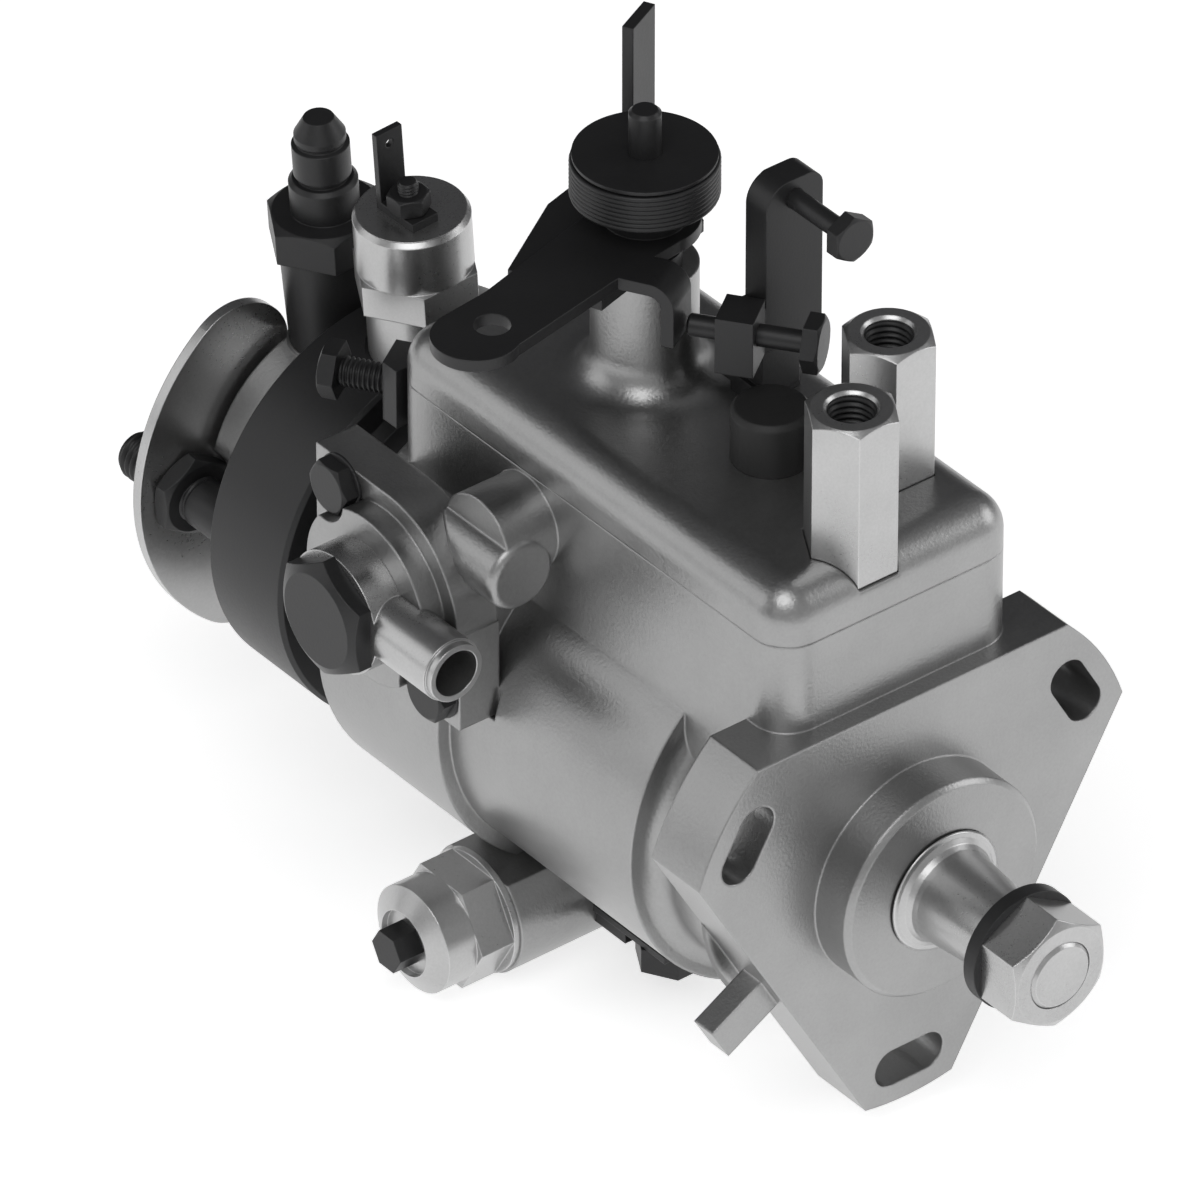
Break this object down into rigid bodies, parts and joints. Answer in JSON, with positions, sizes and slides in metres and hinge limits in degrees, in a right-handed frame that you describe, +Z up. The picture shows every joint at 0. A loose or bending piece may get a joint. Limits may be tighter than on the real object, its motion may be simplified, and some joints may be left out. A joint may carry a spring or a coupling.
{
  "type": "rotary diesel injection pump",
  "caption": "Rotary diesel injection pump with slotted mounting flange, tapered drive shaft, governor box, throttle levers, hydraulic head, shut-off solenoid and advance unit.",
  "frame": {"origin": "centre of the mounting flange's front face, on the drive axis", "axes": "-Y out of the drive end, +Y to the hydraulic head, +X right seen from the front, +Z up to the governor cover"},
  "size_m": [0.1144, 0.239, 0.1932],
  "materials": {
    "cast_aluminium": "fine blasted casting",
    "light_steel": "satin zinc",
    "black_steel": "black oxide, semi matt",
    "spring_steel": "dark spring wire",
    "black_rubber": "moulded"
  },
  "bodies": {
    "pump": {"advance_cap_left": "light_steel", "advance_cap_right": "light_steel", "advance_flange": "black_steel", "advance_housing": "cast_aluminium", "advance_nuts": "black_steel", "advance_plug": "black_steel", "advance_spring": "spring_steel", "arm_pivot_pin": "light_steel", "banjo_bolt": "black_steel", "banjo_union": "light_steel", "bracket_screw": "black_steel", "cover_bung": "black_rubber", "crescent_plate": "black_steel", "end_plate": "cast_aluminium", "end_plate_screws": "black_steel", "governor_cover": "cast_aluminium", "governor_spring": "spring_steel", "hydraulic_head": "black_steel", "idle_screw": "black_steel", "inlet_union": "black_steel", "max_speed_screw": "black_steel", "pillar_nuts": "light_steel", "pump_housing": "cast_aluminium", "rear_nut": "black_steel", "rear_stop_lug": "black_steel", "rear_stop_screw": "black_steel", "rear_stud": "black_steel", "shutoff_solenoid": "light_steel", "side_plate": "cast_aluminium", "side_plate_bolts": "black_steel", "stop_bracket": "black_steel", "terminal_nut": "black_steel", "terminal_tab": "black_steel", "transfer_liner": "light_steel", "union_cap": "black_steel"},
    "drive": {"drive_shaft": "light_steel", "shaft_key": "light_steel", "drive_washer": "black_steel", "drive_nut": "light_steel", "weight_cage": "light_steel", "governor_weights": "light_steel", "distributor_rotor": "light_steel", "pumping_plungers": "light_steel", "roller_shoes": "light_steel", "cam_rollers": "light_steel", "transfer_rotor": "light_steel", "transfer_vanes": "light_steel"},
    "sleeve": {"thrust_sleeve": "light_steel"},
    "arm": {"governor_arm": "light_steel"},
    "link": {"governor_link": "light_steel"},
    "valve": {"metering_valve": "light_steel"},
    "throttle": {"throttle_shaft": "light_steel", "stop_plate": "black_steel", "throttle_lever": "black_steel", "throttle_spring": "spring_steel", "throttle_cap": "black_steel"},
    "cam": {"cam_ring": "light_steel", "cam_advance_screw": "light_steel"},
    "advance": {"advance_piston": "light_steel"},
    "needle": {"solenoid_plunger": "light_steel"}
  },
  "joints": [
    {"name": "drive_turn", "type": "hinge", "parent": "pump", "child": "drive", "pos_m": [0, 0, 0], "axis": [0, 1, 0], "continuous": true},
    {"name": "sleeve_slide", "type": "slide", "parent": "pump", "child": "sleeve", "axis": [0, 1, 0], "range_m": [0, 0.003]},
    {"name": "arm_swing", "type": "hinge", "parent": "pump", "child": "arm", "pos_m": [0, 0.066, 0.03], "axis": [1, 0, 0], "range_deg": [0, 5.9]},
    {"name": "link_slide", "type": "slide", "parent": "pump", "child": "link", "axis": [0, -1, 0], "range_m": [0, 0.00125]},
    {"name": "valve_turn", "type": "hinge", "parent": "pump", "child": "valve", "pos_m": [0, 0.107, 0.038], "axis": [0, 0, 1], "range_deg": [0, 7.8]},
    {"name": "throttle_turn", "type": "hinge", "parent": "pump", "child": "throttle", "pos_m": [0, 0.0795, 0.1], "axis": [0, 0, 1], "range_deg": [-60, 0], "stiffness_Nm_per_rad": 0.02, "springref_deg": 11.46, "deforming": ["governor_spring"]},
    {"name": "cam_turn", "type": "hinge", "parent": "pump", "child": "cam", "pos_m": [0, 0.088, 0], "axis": [0, 1, 0], "range_deg": [-3.7, 3.7]},
    {"name": "advance_slide", "type": "slide", "parent": "pump", "child": "advance", "axis": [1, 0, 0], "range_m": [-0.003, 0.003], "deforming": ["advance_spring"]},
    {"name": "needle_slide", "type": "slide", "parent": "pump", "child": "needle", "axis": [-0.0645, 0, 0.9979], "range_m": [0, 0.0015], "stiffness_N_per_m": 300, "springref_m": -0.002}
  ],
  "couplings": [
    {"joint": "arm_swing", "follows": "sleeve_slide", "rad_per_m": 33.333},
    {"joint": "link_slide", "follows": "sleeve_slide", "ratio": 0.39},
    {"joint": "valve_turn", "follows": "sleeve_slide", "rad_per_m": 43.333},
    {"joint": "advance_slide", "follows": "cam_turn", "m_per_rad": -0.046}
  ]
}
